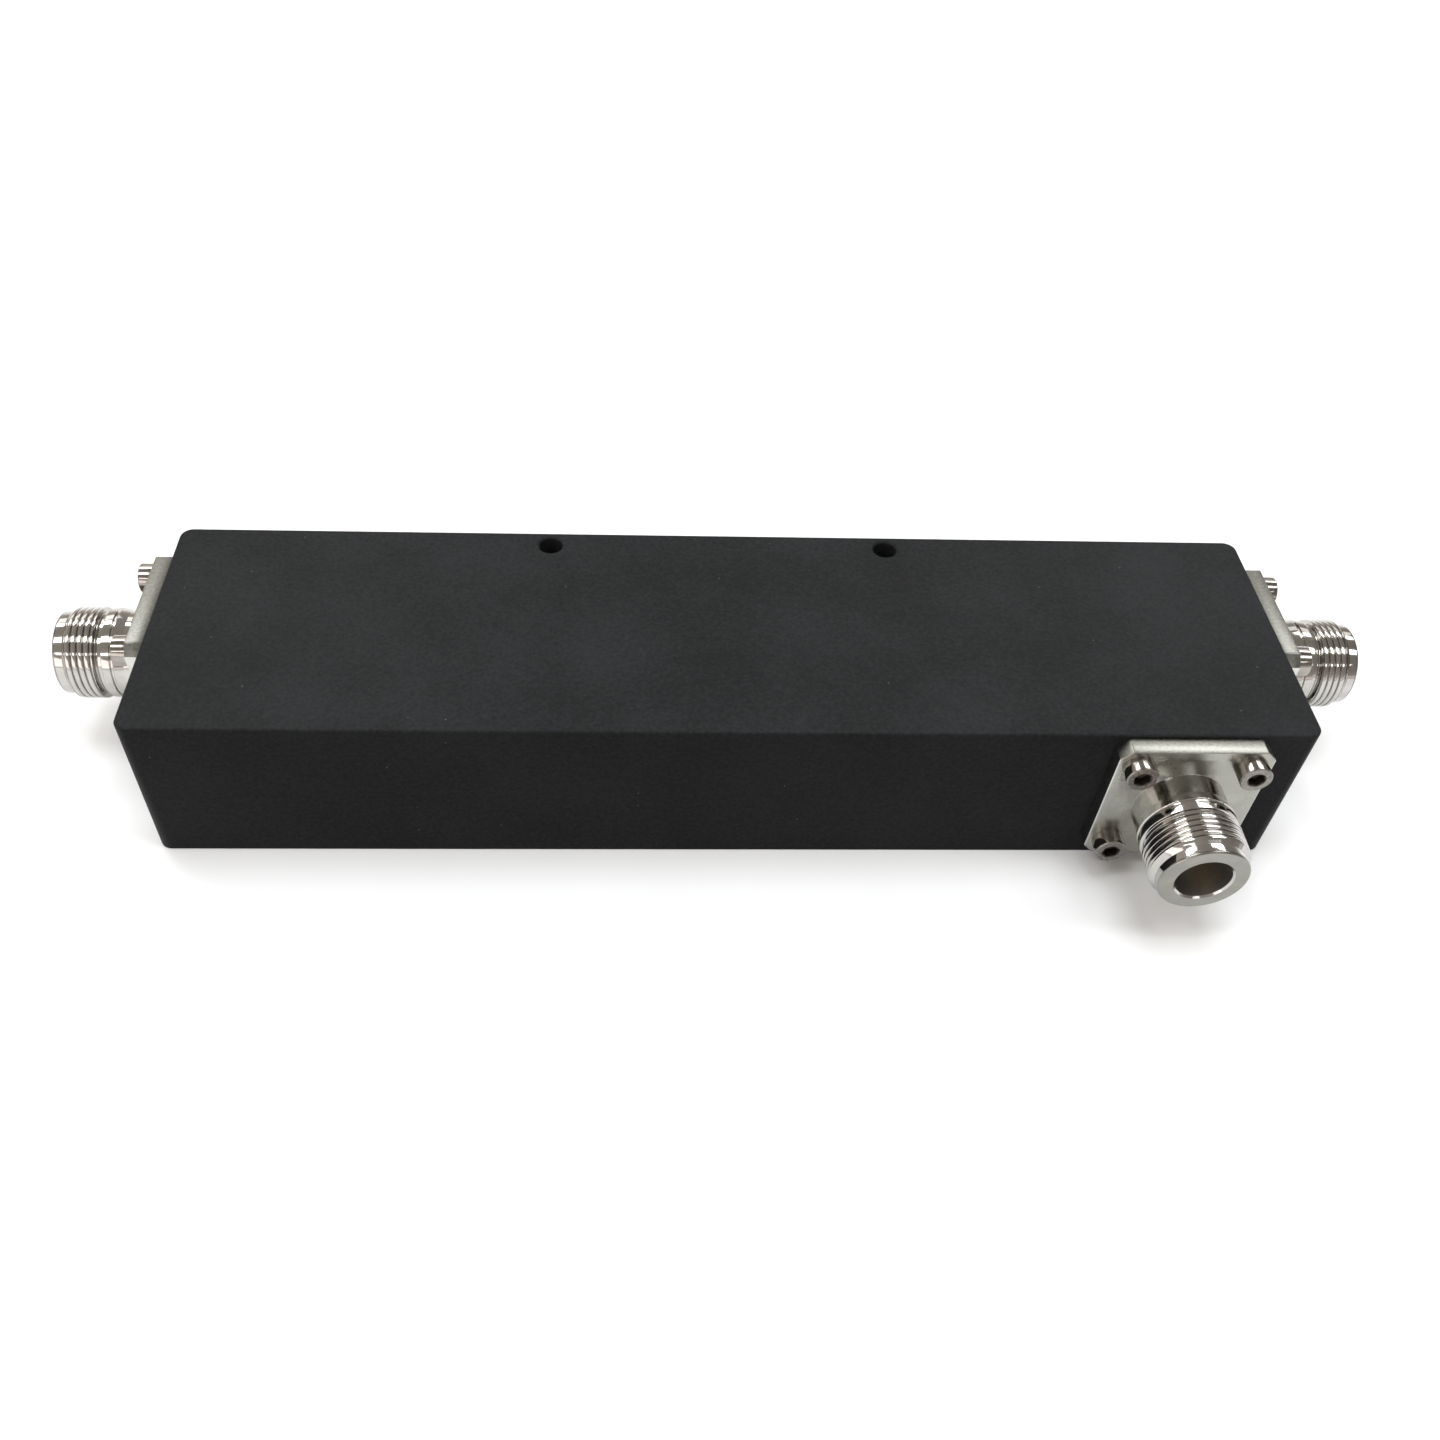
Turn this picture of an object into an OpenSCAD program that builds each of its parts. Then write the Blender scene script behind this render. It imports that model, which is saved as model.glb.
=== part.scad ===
// Directional coupler: a black machined housing with three flanged coaxial ports.
// Inside are the main line, the coupled line and its terminating load.
// X runs from the input port to the output port, Y from the coupled port's face to the back,
// Z from the bottom face up. The origin is in the middle of the bottom face. Millimetres.

/* [Housing] */
// Length of the housing along X
body_l = 190.5; // [180:0.5:220]
// Depth of the housing along Y
body_d = 49; // [47:0.5:60]
// Height of the housing along Z
body_h = 29.5; // [29:0.5:36]
// Radius of the four upright edges
corner_r = 3; // [1:0.5:4]
// Thickness of the two end walls
end_wall = 9; // [8:0.5:11]
// Thickness of the front wall
front_wall = 8; // [7.5:0.25:9]
// Thickness of the back wall, which the mounting holes pass through
back_wall = 13; // [12.5:0.25:14]
// Thickness of the top wall over the cavity
top_wall = 4; // [3.5:0.25:5]
// Radius of the cavity's milled corners
cavity_r = 4; // [2:0.5:6]

/* [Mounting holes] */
// Diameter of the two mounting holes
hole_d = 4.2; // [3.2:0.1:4.6]
// Distance between the two mounting holes
hole_pitch = 60; // [40:1:80]
// Distance from the back face to a mounting hole's axis
hole_edge = 3.3; // [3:0.1:4]

/* [Bottom cover] */
// Thickness of the cover, and depth of the seat it lies in
cover_t = 3; // [2.5:0.25:4]
// Width of the housing's rim beside the cover
rim_w = 2; // [1.5:0.25:2.5]
// Width of the cover's seat along the back of the cavity
back_ledge = 6; // [5.5:0.25:6.5]
// Radius of the cover's corners
cover_r = 2.5; // [1:0.5:4]
// Play between the cover and the rim around it
cover_play = 0.1; // [0.05:0.05:0.3]
// Thread diameter of the cover's countersunk screws
cover_screw_d = 2.5; // [2:0.1:3]
// Head diameter of the cover's screws
cover_head_d = 4.7; // [4:0.1:5]
// Length of the cover's screws, head included
cover_screw_l = 8; // [6:0.5:9]
// Distance from an end of the cover to the first screw of the front row
front_row_inset = 4; // [3.5:0.25:5]
// Distance from an end wall to the first screw of the back row
back_row_inset = 6; // [4:0.5:12]

/* [Ports] */
// Distance from the top face to the axes of the ports
port_drop = 13.3; // [13.2:0.1:15]
// Distance from the back face to the axes of the input and output ports
port_back = 18.1; // [17.6:0.1:19]
// Distance from the output end to the axis of the coupled port
coupled_inset = 20.9; // [19.5:0.1:30]
// Width of the square flange
flange_w = 25.4; // [24.5:0.1:26]
// Thickness of the flange
flange_t = 3.1; // [2.4:0.1:4]
// Size of the flange's cut corners
flange_cut = 1.8; // [0.5:0.05:2.5]
// Distance between the flange's screws
screw_pitch = 18.4; // [17.5:0.1:19]
// Thread diameter of the flange's screws
screw_d = 3; // [2.5:0.1:3.2]
// Length of the flange's screws under the head
screw_l = 8; // [6:0.5:8.5]
// Head diameter of the flange's screws
head_d = 5.2; // [5:0.1:5.8]
// Head height of the flange's screws
head_h = 2.7; // [2:0.1:4]
// Width across the flats of the hexagon socket in a flange screw
hex_w = 2.5; // [2:0.1:3]

/* [Barrel] */
// Diameter of the smooth neck next to the flange
neck_d = 15; // [13:0.1:15.4]
// Length of the neck
neck_l = 4.7; // [3:0.1:6]
// Length of the cone between the neck and the collar
cone_l = 0.6; // [0.3:0.1:1.2]
// Diameter of the collar behind the thread
collar_d = 15.7; // [14.8:0.1:15.8]
// Length of the collar
collar_l = 1.7; // [1:0.1:3]
// Diameter at the bottom of the relief groove
relief_d = 13.9; // [13.2:0.1:14.6]
// Length of the relief groove
relief_l = 1.6; // [0.8:0.1:2]
// Outside diameter of the coupling thread
thread_d = 15.875; // [15.6:0.005:16]
// Length of the coupling thread
thread_l = 4.6; // [4:0.1:8]
// Length of the slope from the thread to the nose
lead_l = 0.5; // [0.3:0.1:1]
// Diameter of the nose at the mouth
nose_d = 14.4; // [13.8:0.1:15]
// Length of the nose
nose_l = 1.9; // [0.8:0.1:2]
// Small bevel on the barrel's edges
edge_cut = 0.2; // [0.1:0.05:0.4]

/* [Inside a port] */
// Diameter of the bore at the mouth
bore_d = 8.9; // [8.2:0.1:9]
// Size of the bevel around the bore's mouth
mouth_cut = 0.3; // [0.2:0.05:0.6]
// Depth from the mouth to the insulator's face
face_depth = 9.1; // [8.8:0.1:9.5]
// Diameter of the hole in the lip that holds the insulator
lip_d = 7; // [6.5:0.1:7.6]
// Thickness of that lip
lip_t = 1.5; // [1:0.1:2]
// Diameter of the insulator
insulator_d = 9.4; // [9:0.1:9.8]
// Diameter of the centre contact
contact_d = 3.04; // [2.8:0.02:3.2]
// Depth from the mouth to the tip of the contact
tip_depth = 5.3; // [4.4:0.1:5.5]
// Diameter of the hole in the contact's tip
socket_d = 1.65; // [1.5:0.05:1.8]
// Depth of the hole in the contact's tip
socket_l = 6; // [4:0.5:8]
// Width of the slots in the contact's tip
slot_w = 0.3; // [0.2:0.05:0.4]
// Length of the slots in the contact's tip
slot_l = 4; // [3:0.5:5]

/* [Lines] */
// Thickness of the main line
main_w = 5; // [4.5:0.25:5.5]
// Height of the main line
main_h = 9; // [7:0.5:11]
// Gap between an end wall and the main line's end
line_gap = 3.5; // [2.5:0.25:4]
// Distance from the front face to the middle of the coupled line
coupled_off = 16.25; // [15.5:0.25:17.5]
// Thickness of the coupled line
coupled_w = 3; // [2:0.25:4]
// Height of the coupled line
coupled_h = 7; // [5.5:0.25:8]
// Length of the coupled line beyond the coupled port's axis
coupled_tail = 5; // [3.5:0.5:8]
// Distance from the middle of the housing to each line support
support_x = 45; // [20:1:52]
// Thickness of a line support
support_t = 5; // [3:0.5:8]
// Width of a line support in front of the coupled line
support_edge = 4; // [3:0.25:5]

/* [Load] */
// Distance from the input end wall to the middle of the load
load_inset = 11; // [9:0.5:20]
// Length of the load's base along Y
load_l = 12; // [11.5:0.25:13]
// Width of the load's base along X
load_w = 6; // [5:0.25:8]
// Thickness of the load's base
load_t = 1.5; // [1:0.1:2]
// Distance between the load's two screws
load_pitch = 8.6; // [8.4:0.1:9]
// Length of the load's chip along X
chip_l = 5; // [3:0.25:5]
// Width of the load's chip along Y
chip_w = 4.2; // [2.5:0.1:4.4]
// Thickness of the load's chip
chip_t = 1.2; // [0.8:0.1:1.6]
// Width of the tab between the chip and the coupled line
tab_w = 2; // [1:0.1:2.4]
// Thickness of the tab
tab_t = 0.3; // [0.2:0.05:0.5]
// Length of the tab on the coupled line
tab_lap = 3; // [1:0.5:6]
// Thread diameter of the load's screws
load_screw_d = 2; // [1.6:0.1:2.2]
// Length of the load's screws under the head
load_screw_l = 5; // [3.5:0.25:5.5]
// Head diameter of the load's screws
load_head_d = 3.8; // [3:0.1:4]
// Head height of the load's screws
load_head_h = 2; // [1:0.1:2.2]

/* [Hidden] */
$fn = 96;
// Play around a pressed pin, insulator or bar
fit = 0.02;
// Play around a screw's thread
thread_play = 0.05;
// Play around a screw in a piece that it passes through
through_play = 0.15;
// Play around a line bar in its supports
bar_play = 0.1;
// Depth of a tapped hole beyond the screw's tip
tap_spare = 1;
// Distance that a cut runs past the face it opens
over = 1;
// Number of screws in each row of the cover
row_count = 5;
// Sides of a hexagon socket
hex_sides = 6;
// Depth of a hexagon socket as a part of the head's height
hex_part = 0.6;
// Depth of the cover screws' sockets
cover_hex_depth = 0.9;
// Width of the cover screws' sockets
cover_hex_w = 1.5;
// Distance that a cover screw's head lies below the cover's face
head_sink = 0.1;
// Height of the edge around a countersunk head
head_edge = 0.3;
// Distance that a contact's tail stops short of the coupled line's far face
tail_short = 0.25;
// Depth of a line's hole beyond the contact's tail
hole_spare = 0.5;
// Height of the chamfer on a socket head screw
head_cut = 0.35;
// Length of the pilot that a screw's tip is bevelled by
tip_cut = 0.3;
// Distance from the chip to the coupled line's end
chip_gap = 2;
// Width of the load's pedestal beyond its base
pedestal_edge = 0.3;
// Gap between the back of the cavity and a support
support_play = 0.2;

half_l = body_l / 2;
half_d = body_d / 2;
port_z = body_h - port_drop;
port_y = half_d - port_back;
coupled_x = half_l - coupled_inset;
coupled_y = coupled_off - half_d;
cavity_top = body_h - top_wall;
cavity_x = half_l - end_wall;
cavity_front = front_wall - half_d;
cavity_back = half_d - back_wall;
seat_x = half_l - rim_w;
seat_front = rim_w - half_d;
seat_back = cavity_back + back_ledge;

front_row_y = (seat_front + cavity_front) / 2;
back_row_y = (cavity_back + seat_back) / 2;
front_row_x = seat_x - front_row_inset;
back_row_x = cavity_x - back_row_inset;
head_cone = (cover_head_d - cover_screw_d) / 2;

thread_r = thread_d / 2;
neck_end = flange_t + neck_l;
collar_start = neck_end + cone_l;
collar_end = collar_start + collar_l;
thread_start = collar_end + relief_l;
thread_end = thread_start + thread_l;
nose_start = thread_end + lead_l;
mouth = nose_start + nose_l;
face_s = mouth - face_depth;
lip_s = face_s - lip_t;
tip_s = mouth - tip_depth;
tail_s = coupled_off + coupled_w / 2 - tail_short;

main_end = cavity_x - line_gap;
main_hole = tail_s - end_wall - line_gap + hole_spare;

load_x = load_inset - cavity_x;
line_top = port_z + coupled_h / 2;
chip_z = line_top + tab_t;
base_z = chip_z + chip_t;
pedestal_z = base_z + load_t;
coupled_start = load_x + chip_l / 2 + chip_gap;
coupled_stop = coupled_x + coupled_tail;

// A block with rounded upright edges between two corners
module round_block(low, high, r) {
  size = high - low;
  translate(low + [r, 0, 0])
    cube([size[0] - 2 * r, size[1], size[2]]);
  translate(low + [0, r, 0])
    cube([size[0], size[1] - 2 * r, size[2]]);
  for (x = [low[0] + r, high[0] - r])
    for (y = [low[1] + r, high[1] - r])
      translate([x, y, low[2]])
        cylinder(h = size[2], r = r);
}

// The frames of the three ports: Z points out of the housing, from its face
module at_input() {
  translate([-half_l, port_y, port_z])
    rotate([0, -90, 0])
      children();
}

module at_output() {
  translate([half_l, port_y, port_z])
    rotate([0, 90, 0])
      children();
}

module at_coupled() {
  translate([coupled_x, -half_d, port_z])
    rotate([90, 0, 0])
      children();
}

// The four places of a flange's screws
module at_flange_screws() {
  for (u = [-screw_pitch / 2, screw_pitch / 2])
    for (v = [-screw_pitch / 2, screw_pitch / 2])
      translate([u, v, 0])
        children();
}

// The places of the cover's screws
module at_cover_screws() {
  for (i = [0 : row_count - 1]) {
    part = 2 * i / (row_count - 1) - 1;
    translate([part * front_row_x, front_row_y, 0])
      children();
    translate([part * back_row_x, back_row_y, 0])
      children();
  }
}

// The places of the load's screws
module at_load_screws() {
  for (v = [-load_pitch / 2, load_pitch / 2])
    translate([load_x, coupled_y + v, 0])
      children();
}

// What a port takes out of the wall behind it
module port_cut(wall) {
  translate([0, 0, -wall - over])
    cylinder(h = wall + 2 * over, d = insulator_d + 2 * through_play);
  at_flange_screws()
    translate([0, 0, flange_t - screw_l - tap_spare])
      cylinder(h = screw_l + tap_spare, d = screw_d + 2 * thread_play);
}

module housing() {
  color([0.03, 0.03, 0.032])
    difference() {
      round_block([-half_l, -half_d, 0], [half_l, half_d, body_h], corner_r);
      difference() {
        round_block([-cavity_x, cavity_front, -over], [cavity_x, cavity_back, cavity_top], cavity_r);
        translate([load_x - load_w / 2 - pedestal_edge, coupled_y - load_l / 2 - pedestal_edge, pedestal_z])
          cube([load_w + 2 * pedestal_edge, load_l + 2 * pedestal_edge, body_h - pedestal_z]);
      }
      round_block([-seat_x, seat_front, -over], [seat_x, seat_back, cover_t], cover_r);
      for (x = [-hole_pitch / 2, hole_pitch / 2])
        translate([x, half_d - hole_edge, -over])
          cylinder(h = body_h + 2 * over, d = hole_d);
      at_cover_screws()
        cylinder(h = cover_screw_l + tap_spare, d = cover_screw_d + 2 * thread_play);
      at_load_screws()
        translate([0, 0, base_z])
          cylinder(h = load_screw_l + tap_spare / 2, d = load_screw_d + 2 * thread_play);
      at_input()
        port_cut(end_wall);
      at_output()
        port_cut(end_wall);
      at_coupled()
        port_cut(front_wall);
    }
}

module bottom_cover() {
  low = [cover_play - seat_x, seat_front + cover_play, 0];
  high = [seat_x - cover_play, seat_back - cover_play, cover_t];
  color([0.03, 0.03, 0.032])
    difference() {
      round_block(low, high, cover_r);
      at_cover_screws() {
        translate([0, 0, -over])
          cylinder(h = cover_t + 2 * over, d = cover_screw_d + 2 * through_play);
        translate([0, 0, -over])
          cylinder(h = over + head_sink + head_edge, d = cover_head_d + 2 * through_play);
        translate([0, 0, head_sink + head_edge])
          cylinder(h = head_cone, d1 = cover_head_d, d2 = cover_screw_d);
      }
    }
}

// A countersunk screw with its head at the bottom
module cover_screw() {
  difference() {
    rotate_extrude()
      polygon([
        [0, head_sink],
        [cover_head_d / 2, head_sink],
        [cover_head_d / 2, head_sink + head_edge],
        [cover_screw_d / 2, head_sink + head_edge + head_cone],
        [cover_screw_d / 2, cover_screw_l - tip_cut],
        [cover_screw_d / 2 - tip_cut, cover_screw_l],
        [0, cover_screw_l]
      ]);
    translate([0, 0, head_sink - over])
      cylinder(h = over + cover_hex_depth, d = cover_hex_w / cos(180 / hex_sides), $fn = hex_sides);
  }
}

module cover_screws() {
  color([0.42, 0.42, 0.43])
    at_cover_screws()
      cover_screw();
}

module main_line() {
  color([0.8, 0.79, 0.75])
    difference() {
      translate([-main_end, port_y - main_w / 2, port_z - main_h / 2])
        cube([2 * main_end, main_w, main_h]);
      for (side = [-1, 1])
        translate([side * (main_end + over), port_y, port_z])
          rotate([0, -90 * side, 0])
            cylinder(h = main_hole + over, d = contact_d + 2 * fit);
    }
}

module coupled_line() {
  color([0.8, 0.79, 0.75])
    difference() {
      translate([coupled_start, coupled_y - coupled_w / 2, port_z - coupled_h / 2])
        cube([coupled_stop - coupled_start, coupled_w, coupled_h]);
      at_coupled()
        translate([0, 0, -coupled_off - coupled_w / 2 - over])
          cylinder(h = coupled_w + 2 * over, d = contact_d + 2 * fit);
    }
}

// A plate across the cavity with a window for each line, resting under both
module line_support() {
  front_y = coupled_y - coupled_w / 2 - support_edge;
  back_y = cavity_back - support_play;
  difference() {
    translate([-support_t / 2, front_y, cover_t])
      cube([support_t, back_y - front_y, cavity_top - cover_t]);
    translate([-support_t / 2 - over, port_y - main_w / 2 - bar_play, port_z - main_h / 2])
      cube([support_t + 2 * over, main_w + 2 * bar_play, main_h + bar_play]);
    translate([-support_t / 2 - over, coupled_y - coupled_w / 2 - bar_play, port_z - coupled_h / 2])
      cube([support_t + 2 * over, coupled_w + 2 * bar_play, coupled_h + bar_play]);
  }
}

module left_support() {
  color([0.93, 0.93, 0.91])
    translate([-support_x, 0, 0])
      line_support();
}

module right_support() {
  color([0.93, 0.93, 0.91])
    translate([support_x, 0, 0])
      line_support();
}

module load_base() {
  color([0.72, 0.7, 0.66])
    difference() {
      translate([load_x - load_w / 2, coupled_y - load_l / 2, base_z])
        cube([load_w, load_l, load_t]);
      at_load_screws()
        translate([0, 0, base_z - over])
          cylinder(h = load_t + 2 * over, d = load_screw_d + 2 * through_play);
    }
}

module load_chip() {
  color([0.9, 0.89, 0.86])
    translate([load_x - chip_l / 2, coupled_y - chip_w / 2, chip_z])
      cube([chip_l, chip_w, chip_t]);
}

module load_tab() {
  color([0.82, 0.81, 0.78])
    translate([load_x, coupled_y - tab_w / 2, line_top])
      cube([coupled_start + tab_lap - load_x, tab_w, tab_t]);
}

// A socket head screw along Z with its thread below the origin
module socket_screw(d, l, hd, hh, hw) {
  difference() {
    rotate_extrude()
      polygon([
        [0, -l],
        [d / 2 - tip_cut, -l],
        [d / 2, tip_cut - l],
        [d / 2, 0],
        [hd / 2, 0],
        [hd / 2, hh - head_cut],
        [hd / 2 - head_cut, hh],
        [0, hh]
      ]);
    translate([0, 0, hh * (1 - hex_part)])
      cylinder(h = hh, d = hw / cos(180 / hex_sides), $fn = hex_sides);
  }
}

module load_screws() {
  color([0.5, 0.5, 0.51])
    at_load_screws()
      translate([0, 0, base_z])
        rotate([180, 0, 0])
          socket_screw(load_screw_d, load_screw_l, load_head_d, load_head_h, cover_hex_w);
}

// The square flange with its cut corners and screw holes
module flange() {
  h = flange_w / 2;
  c = h - flange_cut;
  difference() {
    linear_extrude(height = flange_t)
      polygon([[c, -h], [h, -c], [h, c], [c, h], [-c, h], [-h, c], [-h, -c], [-c, -h]]);
    translate([0, 0, -over])
      cylinder(h = flange_t + 2 * over, d = insulator_d + 2 * fit);
    at_flange_screws()
      translate([0, 0, -over])
        cylinder(h = flange_t + 2 * over, d = screw_d + 2 * through_play);
  }
}

// The barrel: outside profile from the flange to the mouth, then back down the bore
module barrel() {
  rotate_extrude()
    polygon([
      [insulator_d / 2 + fit, 0],
      [neck_d / 2, 0],
      [neck_d / 2, neck_end],
      [collar_d / 2 - edge_cut, collar_start],
      [collar_d / 2, collar_start + edge_cut],
      [collar_d / 2, collar_end - edge_cut],
      [collar_d / 2 - edge_cut, collar_end],
      [relief_d / 2, collar_end + edge_cut],
      [relief_d / 2, thread_start - edge_cut],
      [thread_r - edge_cut, thread_start - edge_cut],
      [thread_r, thread_start],
      [thread_r, thread_end],
      [nose_d / 2, nose_start],
      [nose_d / 2, mouth - edge_cut],
      [nose_d / 2 - edge_cut, mouth],
      [bore_d / 2 + mouth_cut, mouth],
      [bore_d / 2, mouth - mouth_cut],
      [bore_d / 2, face_s],
      [lip_d / 2, face_s],
      [lip_d / 2, lip_s],
      [insulator_d / 2 + fit, lip_s]
    ]);
}

module shell() {
  color([0.74, 0.73, 0.7])
    union() {
      flange();
      barrel();
    }
}

module insulator() {
  color([0.94, 0.94, 0.92])
    rotate_extrude()
      polygon([
        [contact_d / 2 + fit, -front_wall],
        [insulator_d / 2, -front_wall],
        [insulator_d / 2, lip_s],
        [lip_d / 2 - fit, lip_s],
        [lip_d / 2 - fit, face_s],
        [contact_d / 2 + fit, face_s]
      ]);
}

module contact() {
  color([0.85, 0.68, 0.35])
    difference() {
      rotate_extrude()
        polygon([
          [0, -tail_s],
          [contact_d / 2 - edge_cut, -tail_s],
          [contact_d / 2, edge_cut - tail_s],
          [contact_d / 2, tip_s - edge_cut],
          [contact_d / 2 - edge_cut, tip_s],
          [0, tip_s]
        ]);
      translate([0, 0, tip_s - socket_l])
        cylinder(h = socket_l + over, d = socket_d);
      for (turn = [0, 90])
        rotate([0, 0, turn])
          translate([-contact_d, -slot_w / 2, tip_s - slot_l])
            cube([2 * contact_d, slot_w, slot_l + over]);
    }
}

module flange_screws() {
  color([0.66, 0.65, 0.62])
    at_flange_screws()
      translate([0, 0, flange_t])
        socket_screw(screw_d, screw_l, head_d, head_h, hex_w);
}

module input_shell() {
  at_input()
    shell();
}

module input_insulator() {
  at_input()
    insulator();
}

module input_contact() {
  at_input()
    contact();
}

module input_screws() {
  at_input()
    flange_screws();
}

module output_shell() {
  at_output()
    shell();
}

module output_insulator() {
  at_output()
    insulator();
}

module output_contact() {
  at_output()
    contact();
}

module output_screws() {
  at_output()
    flange_screws();
}

module coupled_shell() {
  at_coupled()
    shell();
}

module coupled_insulator() {
  at_coupled()
    insulator();
}

module coupled_contact() {
  at_coupled()
    contact();
}

module coupled_screws() {
  at_coupled()
    flange_screws();
}

housing();
bottom_cover();
cover_screws();
main_line();
coupled_line();
left_support();
right_support();
load_base();
load_chip();
load_tab();
load_screws();
input_shell();
input_insulator();
input_contact();
input_screws();
output_shell();
output_insulator();
output_contact();
output_screws();
coupled_shell();
coupled_insulator();
coupled_contact();
coupled_screws();
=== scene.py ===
"""Looks of the directional coupler: its finished meshes, materials, floor, light and camera."""
import math

import bmesh
import bpy
import numpy as np
from mathutils import Matrix, Vector
from mathutils.geometry import tessellate_polygon


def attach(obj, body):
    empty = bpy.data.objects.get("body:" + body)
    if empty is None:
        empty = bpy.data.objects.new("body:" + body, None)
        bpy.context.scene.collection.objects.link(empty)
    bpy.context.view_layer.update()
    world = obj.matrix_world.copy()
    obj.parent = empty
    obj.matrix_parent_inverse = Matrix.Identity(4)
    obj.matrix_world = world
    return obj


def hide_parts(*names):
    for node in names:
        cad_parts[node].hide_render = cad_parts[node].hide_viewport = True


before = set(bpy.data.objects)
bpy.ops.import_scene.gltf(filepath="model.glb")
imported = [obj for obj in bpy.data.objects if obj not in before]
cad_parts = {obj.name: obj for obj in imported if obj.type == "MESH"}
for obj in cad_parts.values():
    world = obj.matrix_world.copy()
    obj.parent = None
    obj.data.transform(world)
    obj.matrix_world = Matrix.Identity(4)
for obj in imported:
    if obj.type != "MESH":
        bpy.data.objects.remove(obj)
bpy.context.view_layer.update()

MM = 0.001
TAU = 2 * math.pi

# Sizes are in millimetres. The main sizes are the CAD source's, and small edges, bevels and turned
# details are added here. The frame's origin is the middle of the bottom face.
# A profile is a list of (radius, height).

# Housing. The radius of its upright edges is the photograph's, and smaller than the CAD's.
BODY = (190.5, 49.0, 29.5)
BODY_R = 2.2
BODY_LOW_EDGE, BODY_TOP_EDGE = 0.2, 0.4
CAVITY_LOW, CAVITY_HIGH, CAVITY_R = (-86.25, -16.5), (86.25, 11.5), 4.0
CAVITY_TOP = 25.5
PEDESTAL_LOW, PEDESTAL_HIGH, PEDESTAL_R = (-78.55, -14.55, 22.7), (-71.95, -1.95, 27.0), 0.2
LOAD_SCREWS = ((-75.25, -12.55), (-75.25, -3.95))
LOAD_HOLE = [(1.05, 21.2), (1.05, 26.7)]
MOUNT_HOLES = ((-30.0, 21.2), (30.0, 21.2))
MOUNT_R, MOUNT_CUT = 2.1, 0.3
PAST = 1  # how far a cutter reaches past the face it cuts

# Bottom cover and its screws
SEAT_LOW, SEAT_HIGH, SEAT_R = (-93.25, -22.5), (93.25, 17.5), 2.5
COVER_T, COVER_PLAY = 3.0, 0.1
COVER_LOW_EDGE, COVER_TOP_EDGE = 0.25, 0.15
COVER_SCREWS = [(x, y) for half, y in ((89.25, -19.5), (80.25, 14.5))
                for x in np.linspace(-half, half, 5)]
COVER_HOLE = [(1.3, 1), (1.3, 9)]
COVER_SINK = [(2.6, -PAST), (2.5, 0), (2.5, 0.4), (2.35, 0.4), (1.4, 1.35), (1.4, 4)]
COVER_SHANK = [(0.95, -7.9), (1.25, -7.6), (1.25, -1.5)]
COVER_HEAD = [(2.35, -0.4), (2.35, -0.12), (2.28, -0.1)]
COVER_HEAD_TOP, COVER_HEX_W, COVER_HEX_DEPTH = -0.1, 1.5, 0.8
COVER_HEX_STEP = 17  # degrees from one screw's socket to the next one's

# Places of the ports. Each has its axis along its own Z, from the housing's face outwards.
PORT_Y, PORT_Z, COUPLED_X = 6.4, 16.2, 74.35
PORTS = {
    "input": (Matrix.Translation((-BODY[0] / 2, PORT_Y, PORT_Z))
              @ Matrix.Rotation(-math.pi / 2, 4, "Y")),
    "output": (Matrix.Translation((BODY[0] / 2, PORT_Y, PORT_Z))
               @ Matrix.Rotation(math.pi / 2, 4, "Y")),
    "coupled": (Matrix.Translation((COUPLED_X, -BODY[1] / 2, PORT_Z))
                @ Matrix.Rotation(math.pi / 2, 4, "X")),
}
WALL = {"input": 9.0, "output": 9.0, "coupled": 8.0}
PORT_HOLE_R = 4.85

# Flange and its screws
FLANGE_HALF, FLANGE_T, FLANGE_CUT = 12.7, 3.1, 1.8
FLANGE_CORNER_R, FLANGE_BACK_EDGE, FLANGE_FRONT_EDGE = 0.5, 0.12, 0.2
CUT_SHIFT = 0.414  # how far the ends of a cut corner move for each unit of inset
SCREW_AT = 9.2
SCREW_PLACES = [(u, v) for u in (-SCREW_AT, SCREW_AT) for v in (-SCREW_AT, SCREW_AT)]
FLANGE_HOLE_R, SCREW_HOLE_R, SCREW_HOLE_L = 1.65, 1.55, 9
SHANK = [(1.2, -8.0), (1.5, -7.7), (1.5, 0.0)]
HEAD_R, HEAD_H, HEAD_FLAT_R = 2.6, 2.7, 2.1
HEAD_LOW_EDGE, HEAD_TOP_EDGE, HEAD_STEPS = 0.12, 0.42, 5
HEX_W, HEX_DEPTH = 2.5, 1.6
HEX_TURNS = {"input": (12, 47, 28, 55), "output": (33, 5, 50, 21), "coupled": (18, 40, 8, 52)}
HEX_N = 24  # points around a socket
HEX_ENTRY, HEX_TIP = 1.05, 0.45  # radius of a socket's entry and depth of its tip, for radius 1

# Barrel. Its grooves and its thread stand for plainer forms in the CAD.
TURN_N = 144  # points around the barrel
PITCH = 25.4 / 24
THREAD_R, THREAD_DEPTH = 7.9375, 0.38
THREAD_S0, THREAD_S1, LEAD_END = 11.7, 16.15, 16.95
NOSE_R, NOSE_EDGE, NECK_R, BORE_R = 7.2, 0.5, 7.5, 4.45
MOUTH, MOUTH_CUT = 18.7, 0.3
INSULATOR_S, INSULATOR_R, LIP_T, LIP_R = 9.6, 4.72, 1.5, 3.5
# From the flange's face to the thread: (radius, height, rounding) of each corner
BARREL_CORNERS = [
    (9.0, FLANGE_T, 0), (NECK_R, FLANGE_T, 0.03), (NECK_R, 6.7, 0.1),
    (7.85, 8.3, 0.1), (7.6, 8.45, 0.05), (7.6, 8.75, 0.05), (7.85, 8.9, 0.1), (7.85, 10.25, 0.12),
    (7.45, 10.4, 0.1), (7.4, 10.95, 0.08),
    (6.95, 11.08, 0.1), (6.95, 11.6, 0.1), (7.3, THREAD_S0, 0),
]
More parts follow.
